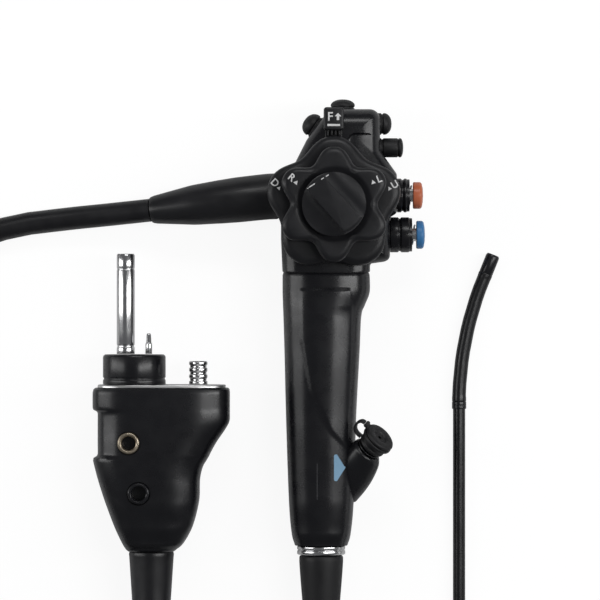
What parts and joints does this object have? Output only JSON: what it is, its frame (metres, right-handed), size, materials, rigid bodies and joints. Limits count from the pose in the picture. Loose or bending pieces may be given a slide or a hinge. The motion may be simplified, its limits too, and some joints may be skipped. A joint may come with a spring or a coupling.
{
  "type": "flexible endoscope",
  "caption": "Slim flexible video endoscope with control head, angulation knobs, bending tip, universal cord and light-guide connector, lying coiled.",
  "frame": {"origin": "on the flat back of the control head, on the axis of the knobs", "axes": "+Z out of the head along the knob axis, +Y from the grip towards the head's top, +X towards the valves"},
  "size_m": [0.2968, 0.4086, 0.0707],
  "materials": {
    "black_plastic": "smooth satin black moulding",
    "knob_plastic": "satin black",
    "black_rubber": "matte black",
    "tube_coating": "smooth black coating",
    "polished_steel": "polished",
    "brass": "turned",
    "suction_cap": "salmon",
    "air_water_cap": "blue",
    "lens_glass": "clear"
  },
  "bodies": {
    "root": {"air_pin": "polished_steel", "air_water_cylinder": "black_plastic", "air_water_spring": "polished_steel", "bending_sheath": "black_rubber", "central_spindle": "polished_steel", "channel_tube": "polished_steel", "connector_boot": "black_plastic", "connector_housing": "black_plastic", "connector_plate": "polished_steel", "cord_boot": "black_rubber", "forceps_valve": "black_rubber", "frame_plate": "polished_steel", "grip_end_ring": "polished_steel", "grip_shell": "black_plastic", "head_back_cover": "black_plastic", "head_housing": "black_plastic", "insertion_boot": "black_rubber", "insertion_tube_coil": "tube_coating", "insertion_tube_far": "tube_coating", "insertion_tube_near": "tube_coating", "joint_ring": "polished_steel", "light_guide_base": "black_plastic", "light_guide_lens": "lens_glass", "light_guide_rod": "polished_steel", "port_branch": "black_plastic", "suction_cylinder": "black_plastic", "suction_socket": "black_plastic", "suction_spring": "polished_steel", "universal_cord_coil": "black_rubber", "universal_cord_far": "black_rubber", "universal_cord_near": "black_rubber", "vent_ring": "brass", "water_pipe": "polished_steel"},
    "ud_control": {"ud_knob": "knob_plastic", "ud_shaft": "polished_steel"},
    "rl_control": {"rl_knob": "knob_plastic", "rl_shaft": "polished_steel"},
    "ud_lock": {"ud_lock_lever": "knob_plastic"},
    "rl_lock": {"rl_lock_knob": "knob_plastic"},
    "switch_body_1": {"switch_1": "black_rubber"},
    "switch_body_2": {"switch_2": "black_rubber"},
    "switch_body_3": {"switch_3": "black_rubber"},
    "switch_body_4": {"switch_4": "black_rubber"},
    "suction_valve": {"suction_piston": "polished_steel", "suction_cap": "suction_cap"},
    "air_water_valve": {"air_water_piston": "polished_steel", "air_water_cap": "air_water_cap"},
    "port_lid": {"valve_lid": "black_rubber"},
    "link_01": {"bending_ring_01": "polished_steel"},
    "link_02": {"bending_ring_02": "polished_steel"},
    "link_03": {"bending_ring_03": "polished_steel"},
    "link_04": {"bending_ring_04": "polished_steel"},
    "link_05": {"bending_ring_05": "polished_steel"},
    "link_06": {"bending_ring_06": "polished_steel"},
    "link_07": {"bending_ring_07": "polished_steel"},
    "link_08": {"bending_ring_08": "polished_steel"},
    "link_09": {"bending_ring_09": "polished_steel"},
    "link_10": {"bending_ring_10": "polished_steel"},
    "link_11": {"bending_ring_11": "polished_steel"},
    "tip": {"distal_tip": "black_plastic"}
  },
  "joints": [
    {"name": "ud_knob_turn", "type": "hinge", "parent": "root", "child": "ud_control", "pos_m": [0, 0, 0.0406], "axis": [0, 0, 1], "range_deg": [-77.1, 161.1]},
    {"name": "rl_knob_turn", "type": "hinge", "parent": "root", "child": "rl_control", "pos_m": [0, 0, 0.0509], "axis": [0, 0, 1], "range_deg": [-90, 90]},
    {"name": "ud_lock_swing", "type": "hinge", "parent": "root", "child": "ud_lock", "pos_m": [0, 0, 0.038], "axis": [0, 0, 1], "range_deg": [0, 35]},
    {"name": "rl_lock_turn", "type": "hinge", "parent": "root", "child": "rl_lock", "pos_m": [0, 0, 0.0612], "axis": [0, 0, 1], "range_deg": [0, 70]},
    {"name": "switch_1_press", "type": "slide", "parent": "root", "child": "switch_body_1", "axis": [0.8059, -0.592, 0], "range_m": [0, 0.001], "stiffness_N_per_m": 1000},
    {"name": "switch_2_press", "type": "slide", "parent": "root", "child": "switch_body_2", "axis": [0, -1, 0], "range_m": [0, 0.001], "stiffness_N_per_m": 1000},
    {"name": "switch_3_press", "type": "slide", "parent": "root", "child": "switch_body_3", "axis": [-1, 0, 0], "range_m": [0, 0.001], "stiffness_N_per_m": 1000},
    {"name": "switch_4_press", "type": "slide", "parent": "root", "child": "switch_body_4", "axis": [-1, 0, 0], "range_m": [0, 0.001], "stiffness_N_per_m": 1000},
    {"name": "suction_press", "type": "slide", "parent": "root", "child": "suction_valve", "axis": [-1, 0, 0], "range_m": [0, 0.0035], "stiffness_N_per_m": 600, "deforming": ["suction_spring"]},
    {"name": "air_water_press", "type": "slide", "parent": "root", "child": "air_water_valve", "axis": [-1, 0, 0], "range_m": [0, 0.0035], "stiffness_N_per_m": 600, "deforming": ["air_water_spring"]},
    {"name": "port_lid_swing", "type": "hinge", "parent": "root", "child": "port_lid", "pos_m": [0.01588, -0.10398, 0.035], "axis": [-0.3428, -0.3428, 0.8746], "range_deg": [0, 100]},
    {"name": "bend_01", "type": "hinge", "parent": "root", "child": "link_01", "pos_m": [0.0607, -0.0904, 0.00345], "axis": [0, 0, -1], "range_deg": [-11.3, 23.6], "deforming": ["bending_sheath"]},
    {"name": "bend_02", "type": "hinge", "parent": "link_01", "child": "link_02", "pos_m": [0.06095, -0.08521, 0.00345], "axis": [0, 0, -1], "range_deg": [-11.3, 23.6]},
    {"name": "bend_03", "type": "hinge", "parent": "link_02", "child": "link_03", "pos_m": [0.06145, -0.08003, 0.00345], "axis": [0.9954, -0.0958, 0], "range_deg": [-25.1, 25.1]},
    {"name": "bend_04", "type": "hinge", "parent": "link_03", "child": "link_04", "pos_m": [0.06195, -0.07485, 0.00345], "axis": [0, 0, -1], "range_deg": [-11.3, 23.6]},
    {"name": "bend_05", "type": "hinge", "parent": "link_04", "child": "link_05", "pos_m": [0.06269, -0.06971, 0.00345], "axis": [0, 0, -1], "range_deg": [-11.3, 23.6]},
    {"name": "bend_06", "type": "hinge", "parent": "link_05", "child": "link_06", "pos_m": [0.06369, -0.0646, 0.00345], "axis": [0.9816, -0.1908, 0], "range_deg": [-25.1, 25.1]},
    {"name": "bend_07", "type": "hinge", "parent": "link_06", "child": "link_07", "pos_m": [0.06468, -0.0595, 0.00345], "axis": [0, 0, -1], "range_deg": [-11.3, 23.6]},
    {"name": "bend_08", "type": "hinge", "parent": "link_07", "child": "link_08", "pos_m": [0.06591, -0.05445, 0.00345], "axis": [0, 0, -1], "range_deg": [-11.3, 23.6]},
    {"name": "bend_09", "type": "hinge", "parent": "link_08", "child": "link_09", "pos_m": [0.06739, -0.04946, 0.00345], "axis": [0.9588, -0.284, 0], "range_deg": [-25.1, 25.1]},
    {"name": "bend_10", "type": "hinge", "parent": "link_09", "child": "link_10", "pos_m": [0.06887, -0.04448, 0.00345], "axis": [0, 0, -1], "range_deg": [-11.3, 23.6]},
    {"name": "bend_11", "type": "hinge", "parent": "link_10", "child": "link_11", "pos_m": [0.07058, -0.03957, 0.00345], "axis": [0, 0, -1], "range_deg": [-11.3, 23.6]},
    {"name": "bend_12", "type": "hinge", "parent": "link_11", "child": "tip", "pos_m": [0.07253, -0.03474, 0.00345], "axis": [0.9272, -0.3746, 0], "range_deg": [-25.1, 25.1]}
  ],
  "couplings": [
    {"joint": "bend_01", "follows": "ud_knob_turn", "ratio": 0.14583},
    {"joint": "bend_02", "follows": "ud_knob_turn", "ratio": 0.14583},
    {"joint": "bend_03", "follows": "rl_knob_turn", "ratio": 0.27778},
    {"joint": "bend_04", "follows": "ud_knob_turn", "ratio": 0.14583},
    {"joint": "bend_05", "follows": "ud_knob_turn", "ratio": 0.14583},
    {"joint": "bend_06", "follows": "rl_knob_turn", "ratio": 0.27778},
    {"joint": "bend_07", "follows": "ud_knob_turn", "ratio": 0.14583},
    {"joint": "bend_08", "follows": "ud_knob_turn", "ratio": 0.14583},
    {"joint": "bend_09", "follows": "rl_knob_turn", "ratio": 0.27778},
    {"joint": "bend_10", "follows": "ud_knob_turn", "ratio": 0.14583},
    {"joint": "bend_11", "follows": "ud_knob_turn", "ratio": 0.14583},
    {"joint": "bend_12", "follows": "rl_knob_turn", "ratio": 0.27778}
  ]
}
